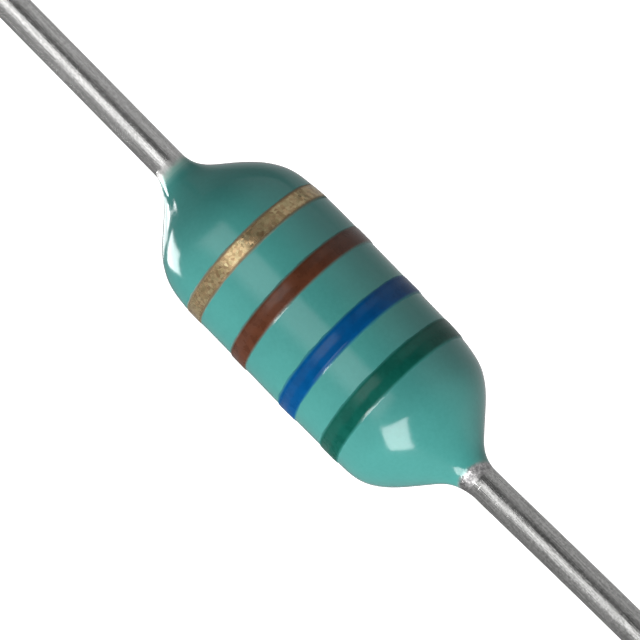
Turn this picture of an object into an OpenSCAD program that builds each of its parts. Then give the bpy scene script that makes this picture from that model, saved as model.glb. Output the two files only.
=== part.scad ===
// Axial inductor with a dipped coat: a wound ferrite drum between two tinned leads.
// X runs along the leads, with the green band at the +X end.
// The origin is the middle of the drum, and +Z is up.
// "Start" is the -X end, where the winding begins, and "finish" is the +X end.

/* [Leads] */
// Diameter of each tinned copper lead
lead_d = 0.5; // [0.45:0.01:0.6]
// Bare length of each lead past the coat
lead_free = 9.65; // [5:0.05:30]
// Chamfer that the cutter leaves on the tip of a lead
lead_chamfer = 0.04; // [0.02:0.01:0.08]
// Depth to which each lead sits in the drum
lead_seat = 0.75; // [0.5:0.05:1]
// How much thinner a lead is at its seat than where it leaves the coat
lead_taper = 0.01; // [0.005:0.005:0.02]

/* [Drum core] */
// Length of the ferrite drum over both flanges
core_length = 4.1; // [3.9:0.05:5]
// Diameter of the flanges
flange_d = 2; // [1.9:0.05:2.4]
// Thickness of each flange
flange_t = 0.6; // [0.45:0.05:0.7]
// Chamfer on the rims of the flanges
flange_chamfer = 0.08; // [0.04:0.01:0.1]
// Diameter of the waist that carries the winding
waist_d = 1; // [0.8:0.05:1.1]
// Thickness of the cement between a lead and its hole
cement_t = 0.03; // [0.02:0.01:0.05]

/* [Winding] */
// Diameter of the enamelled wire
wire_d = 0.08; // [0.06:0.005:0.09]
// Space between neighbouring turns
turn_gap = 0.002; // [0.002:0.001:0.01]
// Number of layers on the waist
layers = 5; // [3:1:5]
// Room beside the winding where the start of the wire climbs out
riser_room = 0.09; // [0.08:0.005:0.12]
// Clearance between a bent wire and what it passes over
wire_clearance = 0.01; // [0.005:0.005:0.02]
// Radius on the middle line of a bend in the wire
bend_r = 0.12; // [0.1:0.01:0.13]
// Turns of wire wrapped on each lead
wraps = 3; // [2:1:4]

/* [Solder] */
// Thickness of the solder over the wrapped turns
solder_t = 0.02; // [0.01:0.005:0.04]
// Length of the solder that tapers off along the lead
solder_run = 0.2; // [0.1:0.05:0.3]

/* [Coat] */
// Thickness of the coat over the flange rims
coat_t = 0.3; // [0.25:0.01:0.5]
// Length of the straight barrel of the coat
barrel_length = 3.04; // [2.8:0.02:3.4]
// Radius of the rounded shoulders
shoulder_r = 1.35; // [1.25:0.01:1.4]
// Reach of the coat along each lead, past the flange
coat_reach = 1.306; // [1.25:0.002:1.5]
// Radius of the hollow curve that runs down to the lead
meniscus_r = 0.7; // [0.6:0.01:0.72]
// Thickness of the edge where the coat ends on the lead
coat_edge = 0.008; // [0.005:0.001:0.02]

/* [Bands] */
// Thickness of the ink
ink_t = 0.02; // [0.01:0.005:0.03]
// Middle of the gold tolerance band, from the middle of the drum
gold_at = -1.435; // [-1.5:0.005:-1.3]
// Width of the gold band
gold_w = 0.29; // [0.2:0.01:0.4]
// Middle of the brown multiplier band
brown_at = -0.52; // [-0.7:0.01:-0.4]
// Width of the brown band
brown_w = 0.3; // [0.2:0.01:0.4]
// Middle of the blue second-digit band
blue_at = 0.505; // [0.4:0.005:0.7]
// Width of the blue band
blue_w = 0.33; // [0.2:0.01:0.4]
// Middle of the green first-digit band
green_at = 1.39; // [1.2:0.01:1.5]
// Width of the green band
green_w = 0.36; // [0.2:0.01:0.4]

/* [Hidden] */
$fn = 96;

lead_r = lead_d / 2;
core_half = core_length / 2;
flange_r = flange_d / 2;
window_half = core_half - flange_t;
waist_r = waist_d / 2;
hole_r = lead_r + cement_t;
hole_floor = core_half - lead_seat - cement_t;

// The turns lie a pitch apart, and the outer layer shows as ridges
pitch = wire_d + turn_gap;
turns = floor((2 * window_half - riser_room - wire_clearance) / pitch);
winding_end = window_half - wire_clearance;
ridge_r = waist_r + (layers - 0.5) * wire_d;
winding_r = waist_r + layers * wire_d;

// Where the tails of the wire run: up beside a flange, over its rim and down its face.
// The start bites a little into the side of the winding that it leaves.
start_riser_at = turns * pitch - winding_end + wire_d / 2 - wire_clearance;
finish_riser_at = winding_end - wire_d / 2;
rim_r = flange_r + wire_clearance + wire_d / 2;
drop_at = core_half + wire_clearance + wire_d / 2;
wrap_r = lead_r + wire_d / 2;
wraps_end = drop_at + (wraps - 1) * pitch;

// The shoulder arc and the meniscus arc of the coat, with the cone that touches both
coat_r = flange_r + coat_t;
coat_half = core_half + coat_reach;
lead_tip = coat_half + lead_free;
shoulder_c = [coat_r - shoulder_r, barrel_length / 2];
meniscus_c = [lead_r + coat_edge + meniscus_r, coat_half];
arc_step = meniscus_c - shoulder_c;
cone_angle = atan2(arc_step.y, arc_step.x) - acos((shoulder_r + meniscus_r) / norm(arc_step));
cone_normal = [cos(cone_angle), sin(cone_angle)];
// The cone's ends lie this far inside the arcs, so that each arc meets it in a clean edge
arc_bite = 0.002;
// Margin by which a cutting shape runs past what it cuts
past = 0.5;

// Turns an outline about the X axis. Its X is the radius and its Y runs along the leads.
module turned() {
    rotate([0, 90, 0]) rotate_extrude() children();
}

// Puts a piece that is drawn for the finish end at the start end
module at_start() {
    mirror([1, 0, 0]) children();
}

// Half section of the coat's outside, or of a skin that lies "grow" outside it
module coat_outline(grow = 0) {
    cone_top = shoulder_c + (shoulder_r + grow - arc_bite) * cone_normal;
    cone_foot = meniscus_c - (meniscus_r - grow - arc_bite) * cone_normal;
    difference() {
        union() {
            translate([0, -shoulder_c.y]) square([coat_r + grow, 2 * shoulder_c.y]);
            intersection() {
                for (end = [-1, 1])
                    translate([shoulder_c.x, end * shoulder_c.y]) circle(r = shoulder_r + grow);
                translate([0, -coat_half]) square([coat_r + past, 2 * coat_half]);
            }
            polygon([
                [0, -coat_half], [cone_foot.x, -coat_half],
                [cone_foot.x, -cone_foot.y], [cone_top.x, -cone_top.y],
                cone_top, cone_foot,
                [cone_foot.x, coat_half], [0, coat_half]
            ]);
        }
        for (end = [-1, 1])
            translate([meniscus_c.x, end * meniscus_c.y]) circle(r = meniscus_r - grow);
    }
}

// Half section of one lead, tapered where it is buried and straight where it is bare
module lead_outline() {
    polygon([
        [0, core_half - lead_seat],
        [lead_r - lead_taper, core_half - lead_seat],
        [lead_r, coat_half],
        [lead_r, lead_tip - lead_chamfer],
        [lead_r - lead_chamfer, lead_tip],
        [0, lead_tip]
    ]);
}

// Half section of the wrapped turns on a lead, run together with solder
module solder_outline(foot = core_half + wire_clearance) {
    difference() {
        intersection() {
            union() {
                for (i = [0 : wraps - 1])
                    translate([wrap_r, drop_at + i * pitch]) circle(d = wire_d + 2 * solder_t);
                translate([0, foot]) square([wrap_r, wraps_end - foot]);
                polygon([
                    [0, wraps_end], [wrap_r + wire_d / 2, wraps_end],
                    [lead_r + coat_edge, wraps_end + wire_d + solder_run],
                    [0, wraps_end + wire_d + solder_run]
                ]);
            }
            translate([0, foot]) square([flange_r, coat_half - foot]);
        }
        lead_outline();
    }
}

// Half section of one flange, from the axis to its chamfered rim
module flange_outline() {
    polygon([
        [0, -flange_t / 2], [flange_r - flange_chamfer, -flange_t / 2],
        [flange_r, flange_chamfer - flange_t / 2],
        [flange_r, flange_t / 2 - flange_chamfer],
        [flange_r - flange_chamfer, flange_t / 2], [0, flange_t / 2]
    ]);
}

// Half section of the drum's outside, with its window filled up to "window_r"
module drum_outline(window_r) {
    translate([0, -core_half]) square([window_r, core_length]);
    for (end = [-1, 1])
        translate([0, end * (window_half + flange_t / 2)]) flange_outline();
}

// Bent wire in the XZ plane: up from "foot_r", over the rim and down into the solder
module tail_wire(riser_at, foot_r, grow = 0) {
    d = wire_d + 2 * grow;
    bend_at = rim_r - bend_r;
    translate([riser_at, 0, foot_r]) cylinder(d = d, h = bend_at - foot_r);
    translate([riser_at + bend_r, 0, bend_at]) rotate([90, 0, 0])
        rotate([0, 0, 90]) rotate_extrude(angle = 90) translate([bend_r, 0]) circle(d = d);
    translate([riser_at + bend_r, 0, rim_r]) rotate([0, 90, 0])
        cylinder(d = d, h = drop_at - riser_at - 2 * bend_r);
    translate([drop_at - bend_r, 0, bend_at]) rotate([90, 0, 0])
        rotate_extrude(angle = 90) translate([bend_r, 0]) circle(d = d);
    translate([drop_at, 0, wrap_r]) cylinder(d = d, h = bend_at - wrap_r);
}

// The start of the wire climbs from the innermost layer
module start_wire(grow = 0) {
    at_start() tail_wire(start_riser_at, waist_r + wire_clearance, grow);
}

// The finish of the wire leaves the outermost layer, on the other side of the drum
module finish_wire(grow = 0) {
    rotate([180, 0, 0]) tail_wire(finish_riser_at, ridge_r, grow);
}

module ferrite_core() {
    color("#3b3b3d") turned() difference() {
        drum_outline(waist_r);
        for (end = [0, 1]) mirror([0, end])
            translate([0, hole_floor]) square([hole_r, lead_seat + cement_t + past]);
    }
}

module winding() {
    color("#a8581e") difference() {
        turned() {
            translate([waist_r, winding_end - turns * pitch])
                square([ridge_r - waist_r, turns * pitch]);
            for (i = [0 : turns - 1])
                translate([ridge_r, winding_end - (i + 0.5) * pitch]) circle(d = wire_d);
        }
        start_wire();
        finish_wire();
    }
}

module start_tail() {
    color("#b86a2c") start_wire();
}

module finish_tail() {
    color("#b86a2c") finish_wire();
}

module start_solder() {
    color("#b9bcc0") difference() {
        at_start() turned() solder_outline();
        start_wire();
    }
}

module finish_solder() {
    color("#b9bcc0") difference() {
        turned() solder_outline();
        finish_wire();
    }
}

// Cement fills the hole around and behind the end of a lead
module lead_cement() {
    color("#d8cfa8") turned() difference() {
        translate([0, hole_floor]) square([hole_r, lead_seat + cement_t]);
        lead_outline();
    }
}

module start_cement() {
    at_start() lead_cement();
}

module finish_cement() {
    lead_cement();
}

module lead() {
    color("#a9abaa") turned() lead_outline();
}

module start_lead() {
    at_start() lead();
}

module finish_lead() {
    lead();
}

// The coat follows the drum, the winding, the solder and the leads
module coat() {
    color("#4d9d8e") difference() {
        turned() difference() {
            coat_outline();
            drum_outline(winding_r + wire_clearance);
            for (end = [0, 1]) mirror([0, end]) {
                solder_outline(core_half);
                translate([0, core_half - past]) square([lead_r, past]);
                lead_outline();
            }
        }
        start_wire(wire_clearance / 2);
        finish_wire(wire_clearance / 2);
    }
}

// A ring of ink that follows the coat
module band(at, width) {
    turned() intersection() {
        difference() {
            coat_outline(ink_t);
            coat_outline();
        }
        translate([0, at - width / 2]) square([coat_r + past, width]);
    }
}

module gold_band() {
    color("#a98a4c") band(gold_at, gold_w);
}

module brown_band() {
    color("#6b3322") band(brown_at, brown_w);
}

module blue_band() {
    color("#0c4f96") band(blue_at, blue_w);
}

module green_band() {
    color("#15604a") band(green_at, green_w);
}

ferrite_core();
winding();
start_tail();
finish_tail();
start_solder();
finish_solder();
start_cement();
finish_cement();
start_lead();
finish_lead();
coat();
gold_band();
brown_band();
blue_band();
green_band();
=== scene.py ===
import bpy
import math
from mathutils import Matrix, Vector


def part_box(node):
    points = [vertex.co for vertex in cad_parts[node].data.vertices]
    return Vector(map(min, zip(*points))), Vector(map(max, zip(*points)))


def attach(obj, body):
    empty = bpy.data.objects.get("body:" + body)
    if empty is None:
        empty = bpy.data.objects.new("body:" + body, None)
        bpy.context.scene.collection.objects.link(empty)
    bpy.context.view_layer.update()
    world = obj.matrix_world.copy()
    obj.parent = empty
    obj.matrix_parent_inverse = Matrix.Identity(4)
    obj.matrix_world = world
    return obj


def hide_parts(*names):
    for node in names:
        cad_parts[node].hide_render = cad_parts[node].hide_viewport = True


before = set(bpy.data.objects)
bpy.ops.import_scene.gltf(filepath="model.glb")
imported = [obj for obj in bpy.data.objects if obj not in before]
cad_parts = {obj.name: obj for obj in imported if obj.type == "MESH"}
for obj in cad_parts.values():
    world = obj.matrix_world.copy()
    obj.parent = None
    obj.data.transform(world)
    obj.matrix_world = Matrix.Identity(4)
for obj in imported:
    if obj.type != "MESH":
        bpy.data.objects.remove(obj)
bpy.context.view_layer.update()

# Dipped coat. The wound drum is dipped in teal epoxy, which sets to a smooth
# spindle with round shoulders and runs out in a thin meniscus on each lead.
# It is glossy and faintly wavy, and its shoulders sag a little to one side.
mm = 0.001
sag_side = (0, -0.985, -0.174)
coat_sides = 64
subdivided_circle = (2 + math.cos(2 * math.pi / coat_sides)) / 3
coat_stations = [
    (-3.356, 0.2475, 0.000), (-3.335, 0.2502, 0.000), (-3.29, 0.2530, 0.003), (-3.22, 0.2650, 0.011),
    (-3.12, 0.2980, 0.024), (-3.01, 0.3630, 0.036), (-2.90, 0.4510, 0.042), (-2.785, 0.5760, 0.040),
    (-2.67, 0.7070, 0.032), (-2.55, 0.8400, 0.030), (-2.43, 0.9590, 0.029), (-2.31, 1.0590, 0.025),
    (-2.19, 1.1340, 0.019), (-2.075, 1.1920, 0.014), (-1.96, 1.2310, 0.009), (-1.84, 1.2575, 0.006),
    (-1.72, 1.2725, 0.005), (-1.60, 1.2820, 0.004), (-1.48, 1.2885, 0.001), (-1.34, 1.2930, -0.004),
    (-1.15, 1.2955, -0.009), (-0.80, 1.2970, -0.008), (-0.40, 1.2970, 0.000), (0.00, 1.2985, 0.003),
    (0.40, 1.2965, 0.008), (0.80, 1.2915, 0.010), (1.15, 1.2870, 0.011), (1.34, 1.2850, 0.014),
    (1.48, 1.2805, 0.018), (1.60, 1.2740, 0.022), (1.72, 1.2650, 0.028), (1.84, 1.2500, 0.034),
    (1.96, 1.2260, 0.037), (2.075, 1.1840, 0.038), (2.19, 1.1190, 0.038), (2.31, 1.0290, 0.036),
    (2.43, 0.9170, 0.034), (2.55, 0.7840, 0.030), (2.67, 0.6490, 0.023), (2.785, 0.5160, 0.015),
    (2.90, 0.3960, 0.010), (3.01, 0.3240, 0.011), (3.12, 0.2810, 0.011), (3.22, 0.2600, 0.006),
    (3.29, 0.2522, 0.002), (3.335, 0.2502, 0.000), (3.356, 0.2475, 0.000),
]


def coat_at(x):
    """The coat's radius and its sag, in metres, at a place along the axis."""
    for (x_near, r_near, s_near), (x_far, r_far, s_far) in zip(coat_stations, coat_stations[1:]):
        if x <= x_far * mm:
            break
    share = (x / mm - x_near) / (x_far - x_near)
    return (r_near + (r_far - r_near) * share) * mm, (s_near + (s_far - s_near) * share) * mm


def first_ring(name, station, sides):
    """A ring across the lead axis, left selected in edit mode."""
    x, radius, sag = station
    bpy.ops.object.select_all(action="DESELECT")
    bpy.ops.mesh.primitive_circle_add(
        vertices=sides, radius=radius, location=(x, sag * sag_side[1], sag * sag_side[2]),
        rotation=(0, math.pi / 2, 0))
    piece = bpy.context.object
    piece.name = name
    piece.data.name = name
    bpy.ops.object.transform_apply(location=True, rotation=True, scale=True)
    bpy.ops.object.mode_set(mode="EDIT")
    bpy.ops.mesh.select_mode(type="VERT")
    bpy.ops.mesh.select_all(action="SELECT")
    return piece


def next_ring(start, end):
    """Extrudes the selected ring to the next place, radius and sag."""
    x_from, r_from, s_from = start
    x_to, r_to, s_to = end
    step = [x_to - x_from, (s_to - s_from) * sag_side[1], (s_to - s_from) * sag_side[2]]
    bpy.ops.mesh.extrude_region_move(TRANSFORM_OT_translate={"value": step})
    bpy.ops.transform.resize(
        value=(1, r_to / r_from, r_to / r_from),
        center_override=(x_to, s_to * sag_side[1], s_to * sag_side[2]))


def ring_along(name, stations, sides):
    """A tube of rings through the stations, still open and in edit mode."""
    piece = first_ring(name, stations[0], sides)
    for start, end in zip(stations, stations[1:]):
        next_ring(start, end)
    return piece


def close_up():
    """Fills what is open, turns the faces outwards and leaves edit mode."""
    bpy.ops.mesh.select_all(action="SELECT")
    bpy.ops.mesh.fill_holes(sides=0)
    bpy.ops.mesh.select_all(action="SELECT")
    bpy.ops.mesh.normals_make_consistent(inside=False)
    bpy.ops.object.mode_set(mode="OBJECT")


def smooth_out(piece, levels):
    """Subdivides the piece and shades it smooth."""
    rounder = piece.modifiers.new("rounder", "SUBSURF")
    rounder.levels = levels
    rounder.render_levels = levels
    bpy.ops.object.modifier_apply(modifier=rounder.name)
    bpy.ops.object.shade_smooth()


dip_waves = bpy.data.textures.new("dip_waves", type="CLOUDS")
dip_waves.noise_scale = 0.0011
dip_waves.noise_depth = 1


def push_out(piece, texture, strength, direction="NORMAL"):
    """Moves the surface in or out, or along an axis, by a cloudy texture."""
    push = piece.modifiers.new("push", "DISPLACE")
    push.texture = texture
    push.texture_coords = "LOCAL"
    push.direction = direction
    push.mid_level = 0.5
    push.strength = strength
    bpy.ops.object.modifier_apply(modifier=push.name)


def new_node(tree, kind, settings=(), inputs=()):
    """A node with its settings, and with values or links on its inputs."""
    made = tree.nodes.new(kind)
    for key, value in dict(settings).items():
        setattr(made, key, value)
    for socket, value in dict(inputs).items():
        if isinstance(value, bpy.types.NodeSocket):
            tree.links.new(value, made.inputs[socket])
        else:
            made.inputs[socket].default_value = value
    return made


def new_finish(name, shader_values):
    """A material with one Principled shader. Returns it, its tree, the shader
    and the piece's own coordinates."""
    made = bpy.data.materials.new(name)
    made.use_nodes = True
    shader = made.node_tree.nodes["Principled BSDF"]
    for socket, value in shader_values.items():
        shader.inputs[socket].default_value = value
    place = new_node(made.node_tree, "ShaderNodeTexCoord").outputs["Object"]
    return made, made.node_tree, shader, place


def noise_at(tree, place, scale, detail=2.0, roughness=0.5):
    """Cloudy noise from 0 to 1; scale is in waves per metre."""
    return new_node(tree, "ShaderNodeTexNoise", {}, {
        "Vector": place, "Scale": scale, "Detail": detail,
        "Roughness": roughness}).outputs["Fac"]


def math_of(tree, operation, *values):
    """A Math node on two or three values or links."""
    return new_node(tree, "ShaderNodeMath", {"operation": operation},
                    dict(enumerate(values))).outputs[0]


def blend_of(tree, share, start, end):
    """A colour that goes from start to end with the share."""
    return new_node(tree, "ShaderNodeMix", {"data_type": "RGBA"},
                    {0: share, 6: start, 7: end}).outputs[2]


def between(tree, share, start, end):
    """A value that goes from start to end with the share."""
    return new_node(tree, "ShaderNodeMix", {"data_type": "FLOAT"}, {0: share, 2: start, 3: end}).outputs[0]


def ramp_of(tree, value, low, high, to_low=0.0, to_high=1.0):
    """The value's range from low to high, smoothed and set to a new range."""
    return new_node(tree, "ShaderNodeMapRange", {"interpolation_type": "SMOOTHSTEP"}, {
        "Value": value, "From Min": low, "From Max": high,
        "To Min": to_low, "To Max": to_high}).outputs[0]


def across_of(tree, place, direction):
    """How far along a direction each point lies."""
    return new_node(tree, "ShaderNodeVectorMath", {"operation": "DOT_PRODUCT"}, {
        0: place, 1: direction}).outputs["Value"]


def bump_of(tree, height, distance, after=None):
    """A bump of that height in metres, on top of another one."""
    inputs = {"Height": height, "Distance": distance, "Strength": 1.0}
    if after is not None:
        inputs["Normal"] = after
    return new_node(tree, "ShaderNodeBump", {}, inputs).outputs["Normal"]


def bare_wire(tree, place):
    """The colour, roughness and drawn lines of the tinned wire. It is duller at the
    finish end."""
    drawn = new_node(tree, "ShaderNodeMapping", {}, {
        "Vector": place, "Scale": (0.05, 1, 1)}).outputs[0]
    lines = noise_at(tree, drawn, 42000, 3, 0.6)
    grain = noise_at(tree, place, 22000, 3, 0.65)
    dull = noise_at(tree, place, 2200, 2)
    tone = math_of(tree, "MULTIPLY_ADD", lines, 0.5, math_of(tree, "MULTIPLY", grain, 0.5))
    bright = blend_of(tree, ramp_of(tree, tone, 0.3, 0.7), (0.52, 0.517, 0.507, 1), (0.82, 0.815, 0.805, 1))
    # Towards the finish lead the tin is darker.
    darker_tin = blend_of(tree, ramp_of(tree, tone, 0.3, 0.7), (0.36, 0.36, 0.352, 1), (0.70, 0.697, 0.685, 1))
    finish_end = ramp_of(tree, across_of(tree, place, (1, 0, 0)), 0.0, 3.0 * mm)
    skin = bump_of(tree, lines, 0.0030 * mm, bump_of(tree, grain, 0.0036 * mm))
    return blend_of(tree, finish_end, bright, darker_tin), ramp_of(tree, dull, 0.2, 0.8, 0.20, 0.29), skin


coat = ring_along("dipped_coat", [
    (x * mm, r * mm / subdivided_circle, sag * mm) for x, r, sag in coat_stations], coat_sides)
close_up()
smooth_out(coat, 2)
push_out(coat, dip_waves, 0.004 * mm)

epoxy, tree, shader, place = new_finish("teal_epoxy", {"IOR": 1.55})
broad = noise_at(tree, place, 900, 2)
fine = noise_at(tree, place, 16000, 3, 0.6)
cloud = math_of(tree, "MULTIPLY_ADD", fine, 0.35, math_of(tree, "MULTIPLY", broad, 0.65))
teal = blend_of(tree, ramp_of(tree, cloud, 0.3, 0.7), (0.052, 0.259, 0.237, 1), (0.063, 0.297, 0.270, 1))
along = across_of(tree, place, (1, 0, 0))
away = math_of(tree, "ABSOLUTE", along)
thin = ramp_of(tree, away, 3.00 * mm, 3.26 * mm)
teal = blend_of(tree, math_of(tree, "MULTIPLY", thin, 0.8), teal, (0.36, 0.58, 0.51, 1))
ragged = noise_at(tree, place, 9000, 4, 0.65)
finish_side = math_of(tree, "ADD", across_of(tree, place, (1, -0.139, 0.316)),
                      math_of(tree, "MULTIPLY_ADD", ragged, 0.06 * mm, -0.03 * mm))
start_side = math_of(tree, "ADD", across_of(tree, place, (-1, -0.10, -0.02)),
                     math_of(tree, "MULTIPLY_ADD", ragged, 0.28 * mm, -0.14 * mm))
bare = math_of(tree, "MAXIMUM",
               ramp_of(tree, finish_side, 3.110 * mm, 3.180 * mm),
               ramp_of(tree, start_side, 3.12 * mm, 3.32 * mm))
speckle = noise_at(tree, place, 21000, 3, 0.65)
film = blend_of(tree, ramp_of(tree, speckle, 0.38, 0.62), (0.24, 0.23, 0.235, 1), (0.52, 0.505, 0.505, 1))
# At the start end the film is pale teal-white rather than speckled grey: partly its own colour, partly a painted
# highlight for the whitish shine on that meniscus.
film = blend_of(tree, ramp_of(tree, along, -0.001, 0.001), (0.50, 0.62, 0.57, 1), film)
run_out = ramp_of(tree, away, 3.17 * mm, 3.29 * mm)
wire_colour, wire_roughness, wire_skin = bare_wire(tree, place)
teal = blend_of(tree, bare, teal, film)
tree.links.new(blend_of(tree, run_out, teal, wire_colour), shader.inputs["Base Color"])
on_lead = math_of(tree, "MAXIMUM", ramp_of(tree, along, 3.18 * mm, 3.30 * mm),
                  ramp_of(tree, across_of(tree, place, sag_side), 0.10 * mm, 0.26 * mm))
metal = math_of(tree, "MULTIPLY", bare, math_of(tree, "MULTIPLY_ADD", on_lead, 0.50, 0.45))
tree.links.new(between(tree, run_out, metal, 1.0), shader.inputs["Metallic"])
gloss = math_of(tree, "MULTIPLY", ramp_of(tree, fine, 0.2, 0.8, 0.11, 0.17),
                ramp_of(tree, along, -2.80 * mm, -2.35 * mm, 0.5, 1.0))
dull = math_of(tree, "MULTIPLY", bare, ramp_of(tree, finish_side, 3.17 * mm, 3.26 * mm, 0.02, 0.34))
dull = math_of(tree, "MULTIPLY", dull, math_of(tree, "MULTIPLY_ADD", on_lead, -0.65, 1.0))
matt_start = math_of(tree, "MULTIPLY", ramp_of(tree, along, -3.34 * mm, -3.29 * mm, 0.0, 0.25),
                     ramp_of(tree, along, -3.14 * mm, -3.04 * mm, 1.0, 0.0))
dull = between(tree, run_out, math_of(tree, "ADD", gloss, dull), wire_roughness)
tree.links.new(math_of(tree, "ADD", dull, matt_start), shader.inputs["Roughness"])
skin = bump_of(tree, noise_at(tree, place, 5000, 2), 0.0012 * mm)
relief = math_of(tree, "MULTIPLY", bare, ramp_of(tree, along, -0.001, 0.001, 0.35, 1.0))
skin = bump_of(tree, math_of(tree, "MULTIPLY", speckle, relief), 0.013 * mm, skin)
skin = new_node(tree, "ShaderNodeMix", {"data_type": "VECTOR"}, {0: run_out, 4: skin, 5: wire_skin}).outputs[1]
skin = new_node(tree, "ShaderNodeVectorMath", {"operation": "NORMALIZE"}, {0: skin}).outputs["Vector"]
tree.links.new(skin, shader.inputs["Normal"])
coat.data.materials.append(epoxy)
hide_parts("coat")
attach(coat, "root")

# Colour bands. Four rings of ink are rolled onto the set coat and show the value
# as green, blue, brown and gold. Each stands a little proud, with a soft
# shoulder, a rounded lip where the roller lifted off, and a slightly ragged edge.
ink_foot = 0.014 * mm
ink_edge = bpy.data.textures.new("ink_edge", type="CLOUDS")
ink_edge.noise_scale = 0.00022
ink_edge.noise_depth = 2


def ink_ring(name, middle, width, ink_rise, tilt, node):
    """A closed ring of ink round the coat, shaped over the coat's own radius and
    turned a little off square."""
    half_width = width / 2
    steps = [
        (-half_width - 0.030 * mm, -ink_foot), (-half_width - 0.004 * mm, -0.001 * mm),
        (-half_width + 0.020 * mm, 0.7 * ink_rise), (-half_width + 0.050 * mm, ink_rise),
        (-half_width / 3, ink_rise), (half_width / 3, ink_rise),
        (half_width - 0.070 * mm, 1.03 * ink_rise), (half_width - 0.044 * mm, 0.96 * ink_rise),
        (half_width - 0.020 * mm, 0.60 * ink_rise), (half_width + 0.002 * mm, 0.16 * ink_rise),
        (half_width + 0.014 * mm, -0.3 * ink_rise), (half_width + 0.034 * mm, -ink_foot),
    ]
    stations = []
    for x, rise in steps:
        radius, sag = coat_at(middle + x)
        stations.append((middle + x, (radius + rise) / subdivided_circle, sag))
    ring = ring_along(name, stations, coat_sides)
    bpy.ops.mesh.select_all(action="SELECT")
    bpy.ops.transform.rotate(value=math.radians(-tilt), orient_axis="Z", center_override=(middle, 0, 0))
    bpy.ops.mesh.select_all(action="DESELECT")
    bpy.ops.mesh.select_non_manifold()
    bpy.ops.mesh.bridge_edge_loops()
    close_up()
    smooth_out(ring, 2)
    push_out(ring, dip_waves, 0.004 * mm)
    push_out(ring, ink_edge, 0.030 * mm, "X")
    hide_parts(node)
    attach(ring, "root")
    return ring


under_ink = (0.058, 0.278, 0.253, 1)


def thin_edge(tree, along, middle, width):
    """How much teal shows through a ring of ink: none but at its two edges."""
    from_middle = math_of(tree, "ABSOLUTE", math_of(tree, "SUBTRACT", along, middle))
    return ramp_of(tree, from_middle, width / 2 - 0.045 * mm, width / 2 + 0.012 * mm, 0.0, 0.75)


def ink_finish(name, dark, light, shine, middle, width, tilt, lip_at, lip_drop):
    """Faintly mottled ink over the waves of the coat; shine is its specular level.
    Its first half is glossier, and so is a short run of varnish on its lip. The ink
    is so thin at both edges that the teal shows through."""
    ink, tree, shader, place = new_finish(name, {
        "IOR": 1.5, "Specular IOR Level": shine, "Coat IOR": 1.6, "Coat Roughness": 0.16})
    mottle = noise_at(tree, place, 5000, 3, 0.6)
    along = across_of(tree, place, (1, math.tan(math.radians(tilt)), 0))
    colour = blend_of(tree, ramp_of(tree, mottle, 0.3, 0.7), dark, light)
    tree.links.new(blend_of(tree, thin_edge(tree, along, middle, width), colour, under_ink), shader.inputs["Base Color"])
    matt = ramp_of(tree, along, middle - width / 2, middle - width / 2 + 0.05 * mm, 0.35, 0.0)
    tree.links.new(math_of(tree, "ADD", ramp_of(tree, mottle, 0.2, 0.8, 0.24, 0.32), matt), shader.inputs["Roughness"])
    wavy = math_of(tree, "MULTIPLY_ADD", mottle, 0.10 * mm, along)
    varnish = math_of(tree, "MULTIPLY", ramp_of(tree, wavy, middle + 0.03 * mm, middle + 0.09 * mm, 0.4, 0.0),
                      ramp_of(tree, along, 2 * middle - lip_at + 0.03 * mm, 2 * middle - lip_at + 0.07 * mm))
    run = across_of(tree, place, sag_side)
    varnish = math_of(tree, "MAXIMUM", varnish, ramp_of(tree, run, -0.95 * mm, -0.50 * mm, 0.32, 0.0))
    run = math_of(tree, "MULTIPLY", ramp_of(tree, run, -0.15 * mm, 0.02 * mm), ramp_of(tree, run, 0.60 * mm, 0.78 * mm, 0.9, 0.0))
    lip = math_of(tree, "MULTIPLY", run, ramp_of(tree, along, lip_at - 0.050 * mm, lip_at - 0.030 * mm))
    tree.links.new(math_of(tree, "MAXIMUM", varnish, lip), shader.inputs["Coat Weight"])
    skin = bump_of(tree, ramp_of(tree, along, lip_at - 0.055 * mm, lip_at + 0.005 * mm, 1.0, 0.0), lip_drop)
    skin = bump_of(tree, noise_at(tree, place, 5000, 2), 0.0012 * mm, skin)
    skin = bump_of(tree, noise_at(tree, place, 22000, 2), 0.0010 * mm, skin)
    tree.links.new(skin, shader.inputs["Normal"])
    return ink


green_band = ink_ring("green_ink_ring", 1.387 * mm, 0.378 * mm, 0.011 * mm, 0.7, "green_band")
green_band.data.materials.append(ink_finish(
    "green_ink", (0.003, 0.075, 0.055, 1), (0.005, 0.095, 0.070, 1), 0.03, 1.387 * mm, 0.378 * mm, 0.7, 1.575 * mm, 0.008 * mm))
blue_band = ink_ring("blue_ink_ring", 0.506 * mm, 0.370 * mm, 0.010 * mm, 1.1, "blue_band")
blue_band.data.materials.append(ink_finish(
    "blue_ink", (0.0005, 0.057, 0.185, 1), (0.001, 0.072, 0.226, 1), 0.02, 0.506 * mm, 0.370 * mm, 1.1, 0.666 * mm, 0.013 * mm))
brown_band = ink_ring("brown_ink_ring", -0.516 * mm, 0.340 * mm, 0.012 * mm, 0.95, "brown_band")
brown_band.data.materials.append(ink_finish(
    "brown_ink", (0.074, 0.023, 0.010, 1), (0.104, 0.034, 0.016, 1), 0.12, -0.516 * mm, 0.340 * mm, 0.95, -0.354 * mm, 0.008 * mm))

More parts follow.
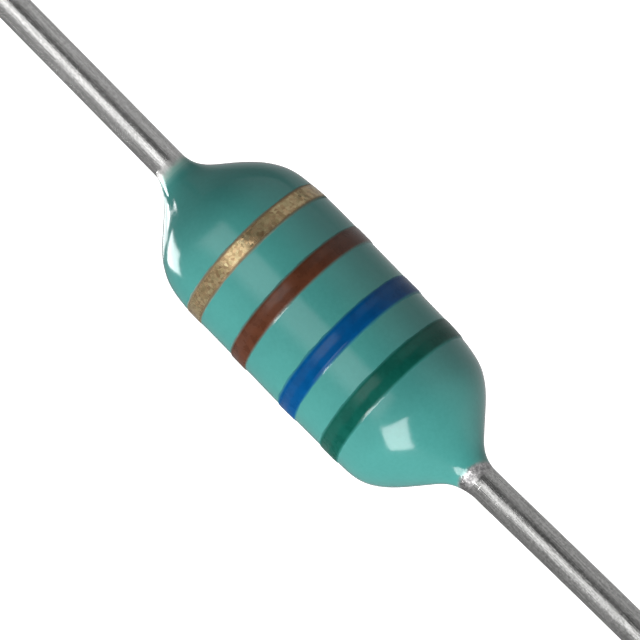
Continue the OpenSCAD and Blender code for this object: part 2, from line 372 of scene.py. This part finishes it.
# Gold band. The tolerance band is a metal-flake ink: each flake lies at its own
# tilt and has its own tone, and the varnish dries reddish brown at both edges.
gold_middle = -1.446 * mm
gold_width = 0.312 * mm
gold_band = ink_ring("gold_ink_ring", gold_middle, gold_width, 0.005 * mm, 0.7, "gold_band")
gold_ink, tree, shader, place = new_finish("gold_ink", {"IOR": 1.5, "Specular IOR Level": 0.3})
flakes = new_node(tree, "ShaderNodeTexVoronoi", {"feature": "F1"}, {
    "Vector": place, "Scale": 21000, "Randomness": 1.0}).outputs["Color"]
patch = noise_at(tree, place, 8000, 3, 0.6)
flake_tone = across_of(tree, flakes, (1, 0, 0))
flake_hue = across_of(tree, flakes, (0, 1, 0))
bright = blend_of(tree, flake_hue, (0.62, 0.44, 0.24, 1), (0.64, 0.54, 0.31, 1))
dark = blend_of(tree, flake_hue, (0.36, 0.235, 0.12, 1), (0.39, 0.30, 0.145, 1))
tone = math_of(tree, "MULTIPLY_ADD", flake_tone, 0.45, math_of(tree, "MULTIPLY", patch, 0.55))
gold = blend_of(tree, ramp_of(tree, tone, 0.20, 0.76), dark, bright)
along = across_of(tree, place, (1, math.tan(math.radians(0.7)), 0))
from_middle = math_of(tree, "ABSOLUTE", math_of(tree, "SUBTRACT", along, gold_middle))
from_middle = math_of(tree, "MULTIPLY_ADD", patch, 0.05 * mm, from_middle)
edge = ramp_of(tree, from_middle, gold_width * 0.36, gold_width * 0.52)
gold = blend_of(tree, edge, gold, (0.235, 0.142, 0.076, 1))
dried = ramp_of(tree, from_middle, gold_width * 0.46, gold_width * 0.60)
tree.links.new(blend_of(tree, thin_edge(tree, along, gold_middle, gold_width), gold, under_ink), shader.inputs["Base Color"])
tree.links.new(math_of(tree, "MULTIPLY_ADD", dried, -0.77, 0.77), shader.inputs["Metallic"])
tree.links.new(math_of(tree, "MULTIPLY_ADD", edge, 0.38, 0.18), shader.inputs["Roughness"])
tilt = new_node(tree, "ShaderNodeVectorMath", {"operation": "SUBTRACT"}, {
    0: flakes, 1: (0.5, 0.5, 0.5)}).outputs["Vector"]
skin = new_node(tree, "ShaderNodeVectorMath", {"operation": "MULTIPLY_ADD"}, {
    0: tilt, 1: (0.10, 0.10, 0.10), 2: bump_of(tree, patch, 0.004 * mm)}).outputs["Vector"]
skin = new_node(tree, "ShaderNodeVectorMath", {"operation": "NORMALIZE"}, {0: skin}).outputs["Vector"]
tree.links.new(skin, shader.inputs["Normal"])
gold_band.data.materials.append(gold_ink)

# Leads. Straight copper wire of 0.5 mm, drawn and tinned, is cemented into each
# end of the drum. Drawing leaves fine lines along it, handling leaves a slight bow,
# and the cut through its tip shows the copper.
lead_r = 0.25 * mm
lead_sides = 64
tip_bevel = 0.04 * mm


def lead_wire(name, node, end, bow):
    """One lead, from its seat in the drum (end is -1 or 1) to its cut tip. The bow
    is how far its bare middle stands off the axis."""
    low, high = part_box(node)
    seat, tip = (low.x, high.x) if end > 0 else (high.x, low.x)
    count = 26
    straight = tip - end * tip_bevel - seat
    coat_end = 3.35 * mm
    stations = []
    for i in range(count + 1):
        x = seat + straight * i / count
        along = min(1.0, max(0.0, abs(x) - coat_end) / (abs(tip) - coat_end))
        stations.append((x, lead_r, -bow * math.sin(math.pi * along)))
    sag = stations[-1][2]
    stations += [(tip - end * 0.3 * tip_bevel, lead_r - 0.35 * tip_bevel, sag), (tip, lead_r - tip_bevel, sag)]
    lead = ring_along(name, stations, lead_sides)
    close_up()
    bpy.ops.object.shade_smooth_by_angle(angle=math.radians(20))
    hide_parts(node)
    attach(lead, "root")
    return lead


tin, tree, shader, place = new_finish("tinned_wire", {"Metallic": 1.0})
colour, roughness, skin = bare_wire(tree, place)
cut = ramp_of(tree, math_of(tree, "ABSOLUTE", across_of(tree, place, (1, 0, 0))), 13.000 * mm, 13.004 * mm)
tree.links.new(blend_of(tree, cut, colour, (0.62, 0.33, 0.21, 1)), shader.inputs["Base Color"])
tree.links.new(math_of(tree, "MULTIPLY_ADD", cut, 0.25, roughness), shader.inputs["Roughness"])
tree.links.new(skin, shader.inputs["Normal"])
for name, node, end, bow in (("start_lead_wire", "start_lead", -1, 0.008 * mm),
                             ("finish_lead_wire", "finish_lead", 1, 0.078 * mm)):
    lead_wire(name, node, end, bow).data.materials.append(tin)

# Drum core, hidden in the coat. It is a pressed and sintered ferrite bobbin, dark
# grey and matt, with a fine crystalline grain.
ferrite, tree, shader, place = new_finish("sintered_ferrite", {"IOR": 1.6})
grain = noise_at(tree, place, 26000, 3)
tree.links.new(blend_of(tree, grain, (0.018, 0.018, 0.020, 1), (0.055, 0.054, 0.056, 1)), shader.inputs["Base Color"])
tree.links.new(ramp_of(tree, grain, 0.2, 0.8, 0.55, 0.8), shader.inputs["Roughness"])
tree.links.new(bump_of(tree, grain, 0.004 * mm), shader.inputs["Normal"])
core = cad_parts["ferrite_core"]
core.data.materials.clear()
core.data.materials.append(ferrite)

# Winding and its two tails, hidden in the coat. Enamelled copper wire is wound on
# the drum in layers, and its ends run over the flange rims to the leads.
enamel, tree, shader, place = new_finish("enamelled_copper", {"Metallic": 0.85, "Coat Weight": 0.6})
turns = noise_at(tree, place, 9000, 3)
tree.links.new(blend_of(tree, turns, (0.36, 0.10, 0.030, 1), (0.62, 0.22, 0.075, 1)), shader.inputs["Base Color"])
tree.links.new(ramp_of(tree, turns, 0.2, 0.8, 0.22, 0.36), shader.inputs["Roughness"])
for node in ("winding", "start_tail", "finish_tail"):
    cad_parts[node].data.materials.clear()
    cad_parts[node].data.materials.append(enamel)

# Solder, hidden in the coat. It wets the turns of wire that are wrapped round each
# lead and joins them to it as one bright ribbed sleeve.
solder, tree, shader, place = new_finish("bright_solder", {"Metallic": 1.0})
frost = noise_at(tree, place, 15000, 3)
tree.links.new(blend_of(tree, frost, (0.55, 0.55, 0.56, 1), (0.74, 0.74, 0.73, 1)), shader.inputs["Base Color"])
tree.links.new(ramp_of(tree, frost, 0.2, 0.8, 0.18, 0.4), shader.inputs["Roughness"])
for node in ("start_solder", "finish_solder"):
    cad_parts[node].data.materials.clear()
    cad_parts[node].data.materials.append(solder)

# Cement, hidden in the coat. A pale filled epoxy holds each lead in the hole of
# the drum.
cement, tree, shader, place = new_finish("lead_cement", {"IOR": 1.5})
filler = noise_at(tree, place, 30000, 3)
tree.links.new(blend_of(tree, filler, (0.50, 0.46, 0.36, 1), (0.68, 0.64, 0.54, 1)), shader.inputs["Base Color"])
tree.links.new(ramp_of(tree, filler, 0.2, 0.8, 0.45, 0.7), shader.inputs["Roughness"])
for node in ("start_cement", "finish_cement"):
    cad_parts[node].data.materials.clear()
    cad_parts[node].data.materials.append(cement)

# Floor. A wide sheet of white paper lies well below the part. A pool of light under the camera is painted into its
# colour and glow: white there, fading to pale grey further out.
floor_depth = 0.086
painted_pool_centre = (-0.0157, 0.0150, 0.0)
bpy.ops.object.select_all(action="DESELECT")
bpy.ops.mesh.primitive_plane_add(size=1.6, location=(0, 0, -floor_depth))
floor = bpy.context.object
floor.name = "paper_floor"
bpy.ops.object.transform_apply(location=True, rotation=True, scale=True)
paper, tree, shader, place = new_finish("white_paper", {"Roughness": 1.0, "Specular IOR Level": 0.0})
out = new_node(tree, "ShaderNodeVectorMath", {"operation": "DISTANCE"}, {
    0: place, 1: (painted_pool_centre[0], painted_pool_centre[1], -floor_depth)}).outputs["Value"]
painted_pool_fade = ramp_of(tree, out, 0.016, 0.075)
fibres = noise_at(tree, place, 900, 3)
# The tone is the painted pool of light; through the glow it also shows in reflections.
tone = math_of(tree, "MULTIPLY_ADD", fibres, 0.01, math_of(tree, "MULTIPLY_ADD", painted_pool_fade, -0.40, 0.94))
grey = new_node(tree, "ShaderNodeCombineColor", {}, {0: tone, 1: tone, 2: tone}).outputs[0]
tree.links.new(grey, shader.inputs["Base Color"])
tree.links.new(grey, shader.inputs["Emission Color"])
rays = new_node(tree, "ShaderNodeLightPath").outputs
seen = math_of(tree, "MAXIMUM", rays["Is Camera Ray"], math_of(
    tree, "MAXIMUM", rays["Is Glossy Ray"], rays["Is Transmission Ray"]))
tree.links.new(math_of(tree, "MULTIPLY", seen, 0.45), shader.inputs["Emission Strength"])
floor.data.materials.append(paper)

# Painted reflection sheet. A glowing grey sheet, hidden from the camera and from diffuse light and shadow,
# paints the reflection of the room's dull grey far side on the wires and on the rims of the gloss;
# the painted reflection is darkest where the camera stands over it and far out at the start side.
bpy.ops.object.select_all(action="DESELECT")
bpy.ops.mesh.primitive_plane_add(size=1)
painted_reflection_sheet = bpy.context.object
painted_reflection_sheet.name = "painted_reflection_sheet"
bpy.ops.object.mode_set(mode="EDIT")
bpy.ops.mesh.select_all(action="SELECT")
bpy.ops.transform.resize(value=(1.0, 0.560, 1))
bpy.ops.transform.translate(value=(-0.200, 0.220, -0.084))
bpy.ops.mesh.select_all(action="DESELECT")
bpy.ops.object.mode_set(mode="OBJECT")
for edge in painted_reflection_sheet.data.edges:
    edge.select = all(painted_reflection_sheet.data.vertices[i].co.y < -0.05 for i in edge.vertices)
bpy.ops.object.mode_set(mode="EDIT")
bpy.ops.mesh.select_mode(type="EDGE")
bpy.ops.mesh.extrude_region_move(TRANSFORM_OT_translate={"value": (0, -0.050, 0.095)})
bpy.ops.object.mode_set(mode="OBJECT")
reflection_glow_material, tree, shader, place = new_finish("painted_reflection_glow", {"Roughness": 1.0, "Specular IOR Level": 0.0})
far_side = ramp_of(tree, across_of(tree, place, (0, 1, 0)), -0.004, 0.034, 0.265, 0.50)
up_wall = ramp_of(tree, across_of(tree, place, (0, 0, 1)), -0.075, -0.005, 1.0, 1.30)
along = across_of(tree, place, (1, 0, 0))
start_side = math_of(tree, "MULTIPLY", ramp_of(tree, along, -0.027, -0.008, 0.8, 1.0),
                     ramp_of(tree, along, -0.130, -0.050, 0.45, 1.0))
from_stand = new_node(tree, "ShaderNodeVectorMath", {"operation": "DISTANCE"}, {
    0: place, 1: (-0.0155, 0.0148, -0.084)}).outputs["Value"]
# The level of the painted reflection: paler towards the far side and up the wall, darker near the camera's stand and
# far out at the start side.
painted_reflection_level = math_of(tree, "MULTIPLY", math_of(tree, "MULTIPLY", far_side, start_side),
                math_of(tree, "MULTIPLY", up_wall, ramp_of(tree, from_stand, 0.004, 0.026, 0.35, 1.0)))
shader.inputs["Base Color"].default_value = (0.02, 0.02, 0.02, 1)
shader.inputs["Emission Color"].default_value = (1, 1, 1, 1)
tree.links.new(painted_reflection_level, shader.inputs["Emission Strength"])
painted_reflection_sheet.data.materials.append(reflection_glow_material)
painted_reflection_sheet.visible_camera = False
painted_reflection_sheet.visible_diffuse = False
painted_reflection_sheet.visible_shadow = False

# Room light. The room is dim grey, paler towards one side wall, and a wide diffuser
# hangs beside the camera and lays a soft pale streak along the part.
room = bpy.data.worlds.new("studio_room")
bpy.context.scene.world = room
room.use_nodes = True
tree = room.node_tree
towards = new_node(tree, "ShaderNodeTexCoord").outputs["Generated"]
side = across_of(tree, towards, (0, 1, 0))
wall = ramp_of(tree, side, 0.20, 0.85, 0.09, 0.47)
dim = ramp_of(tree, side, -1.0, -0.1, 0.26, 0.0)
above = across_of(tree, towards, (0, -0.174, 0.985))
aside = across_of(tree, towards, (0, -0.985, -0.174))
lengthways = across_of(tree, towards, (1, 0, 0))
diffuser = math_of(tree, "MULTIPLY", ramp_of(tree, above, 0.25, 0.45),
                   math_of(tree, "MULTIPLY", ramp_of(tree, aside, -0.07, 0.09), ramp_of(tree, aside, 0.48, 0.80, 1.0, 0.0)))
diffuser = math_of(tree, "MULTIPLY", diffuser,
                   math_of(tree, "MULTIPLY", ramp_of(tree, lengthways, -0.72, -0.55), ramp_of(tree, lengthways, -0.06, 0.08, 1.0, 0.0)))
glow = math_of(tree, "MULTIPLY_ADD", diffuser, 1.30, math_of(tree, "ADD", wall, dim))
tree.links.new(glow, tree.nodes["Background"].inputs["Strength"])
tree.nodes["Background"].inputs["Color"].default_value = (1, 1, 1, 1)

# Lamps. A large softbox lights the part from the lower right, and a smaller one
# and two white cards stand low on the left.
lamps = (
    ("key_softbox", (216.9, -194.3, 72.4), (-7.3, 25.3, -21.8), (372.2, 179.4), 1.487),
    ("left_softbox", (-52.9, -48.7, -45.3), (130.9, -35.6, -74.2), (45.6, 31.5), 0.0344),
    ("left_card", (-40.0, -7.7, -56.9), (166.7, -33.4, -145.8), (27.2, 13.5), 0.0030),
    ("left_edge_card", (-53.5, -13.4, -43.1), (128.4, -7.6, -81.9), (1.6, 24.8), 0.00090),
)
for name, spot, turn, size, power in lamps:
    light = bpy.data.lights.new(name, type="AREA")
    light.shape = "RECTANGLE"
    light.size = size[0] * mm
    light.size_y = size[1] * mm
    light.energy = power
    lamp = bpy.data.objects.new(name, light)
    bpy.context.scene.collection.objects.link(lamp)
    lamp.location = [value * mm for value in spot]
    lamp.rotation_euler = [math.radians(value) for value in turn]
    lamp.visible_camera = False

# Camera. It looks down on the part from the front right with a long lens, so that
# the leads run off the picture's corners.
azimuth = math.radians(46.2)
elevation = math.radians(75.7)
distance = 0.160
camera_data = bpy.data.cameras.new("long_lens")
camera_data.lens = 619
camera_data.sensor_width = 36
camera_data.clip_start = 0.01
camera_data.clip_end = 10
camera = bpy.data.objects.new("long_lens", camera_data)
bpy.context.scene.collection.objects.link(camera)
back = (math.sin(azimuth) * math.cos(elevation), -math.cos(azimuth) * math.cos(elevation), math.sin(elevation))
right = (math.cos(azimuth), math.sin(azimuth), 0)
up = (-math.sin(azimuth) * math.sin(elevation), math.cos(azimuth) * math.sin(elevation), math.cos(elevation))
aim_right = -0.093 * mm
aim_up = 0.057 * mm
camera.location = [aim_right * r + aim_up * u + distance * b for r, u, b in zip(right, up, back)]
camera.rotation_euler = (math.pi / 2 - elevation, 0, azimuth)
bpy.context.scene.camera = camera
bpy.context.scene.view_settings.view_transform = "Standard"
